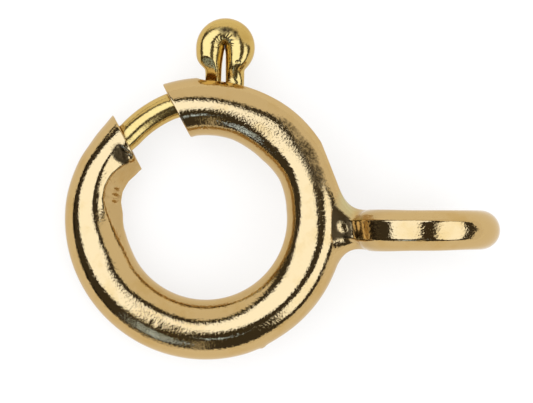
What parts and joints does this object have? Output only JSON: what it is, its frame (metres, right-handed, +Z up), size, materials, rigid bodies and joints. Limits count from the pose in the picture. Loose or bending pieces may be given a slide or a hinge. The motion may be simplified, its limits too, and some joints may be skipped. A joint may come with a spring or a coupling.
{
  "type": "spring ring clasp",
  "caption": "Round hollow ring clasp whose sprung bolt slides back by a trigger to open its mouth, with a soldered end ring for a chain.",
  "frame": {"origin": "middle of the bounding box's underside, on the surface that the clasp lies on", "axes": "+X from the ring towards the end ring, +Y towards the side of the trigger, +Z up off the surface"},
  "size_m": [0.0092, 0.0072, 0.0032],
  "materials": {
    "tube_gold": "polished gold-filled brass",
    "wire_gold": "polished gold-filled wire",
    "spring_steel": "bright drawn steel wire"
  },
  "bodies": {
    "ring": {"clasp_body": "tube_gold", "return_spring": "spring_steel"},
    "bolt": {"trigger_bolt": "wire_gold"}
  },
  "joints": [
    {"name": "bolt_slide", "type": "hinge", "parent": "ring", "child": "bolt", "pos_m": [-0.00162, -0.00063, 0.00096], "axis": [-0.1336, 0, 0.991], "range_deg": [-41.1, 0], "stiffness_Nm_per_rad": 0.003, "deforming": ["return_spring"]}
  ]
}
